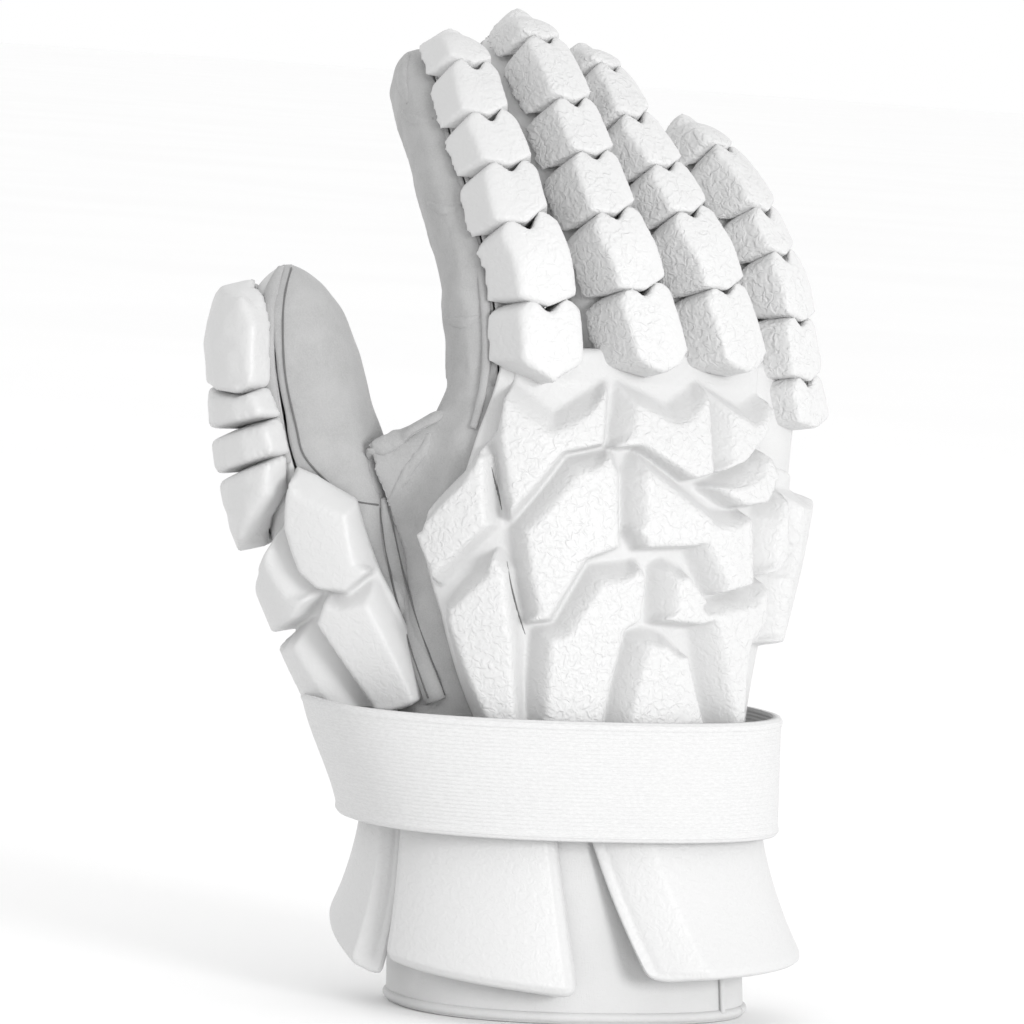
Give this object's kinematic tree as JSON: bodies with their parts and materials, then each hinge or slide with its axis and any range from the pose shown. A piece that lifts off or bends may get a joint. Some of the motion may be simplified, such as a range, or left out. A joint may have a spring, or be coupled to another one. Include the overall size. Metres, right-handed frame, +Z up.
{
  "type": "lacrosse glove",
  "caption": "Hollow protective sports glove standing on its cuff, with foam rolls on the fingers, moulded foam on the back, cuff flaps and a wrist strap.",
  "frame": {"origin": "middle of the bounding box's base, where the cuff's foot stands", "axes": "+Z up to the fingertips, the back of the hand towards -Y, the thumb towards -X"},
  "size_m": [0.2074, 0.1326, 0.3216],
  "materials": {
    "foam": "white crackled synthetic leather over foam",
    "cloth": "plain white cloth",
    "strap_elastic": "ribbed white elastic",
    "suede": "light grey suede"
  },
  "bodies": {
    "root": {"suede_index": "suede", "backing_index": "cloth", "suede_middle": "suede", "backing_middle": "cloth", "suede_ring": "suede", "backing_ring": "cloth", "suede_little": "suede", "backing_little": "cloth", "roll_index_1": "foam", "roll_index_2": "foam", "roll_index_3": "foam", "roll_index_4": "foam", "roll_index_5": "foam", "roll_index_6": "foam", "roll_middle_1": "foam", "roll_middle_2": "foam", "roll_middle_3": "foam", "roll_middle_4": "foam", "roll_middle_5": "foam", "roll_middle_6": "foam", "roll_ring_1": "foam", "roll_ring_2": "foam", "roll_ring_3": "foam", "roll_ring_4": "foam", "roll_ring_5": "foam", "roll_ring_6": "foam", "roll_little_1": "foam", "roll_little_2": "foam", "roll_little_3": "foam", "roll_little_4": "foam", "roll_little_5": "foam", "roll_little_6": "foam", "crotch": "suede", "palm": "suede", "back_foam": "foam", "suede_thumb": "suede", "backing_thumb": "cloth", "thumb_cap": "foam", "thumb_roll_1": "foam", "thumb_roll_2": "foam", "thumb_roll_3": "foam", "thumb_guard": "foam", "thumb_web": "suede", "cuff_wrap": "cloth", "flap_thumb": "foam", "flap_middle": "foam", "flap_little": "foam", "strap": "strap_elastic"}
  },
  "joints": []
}
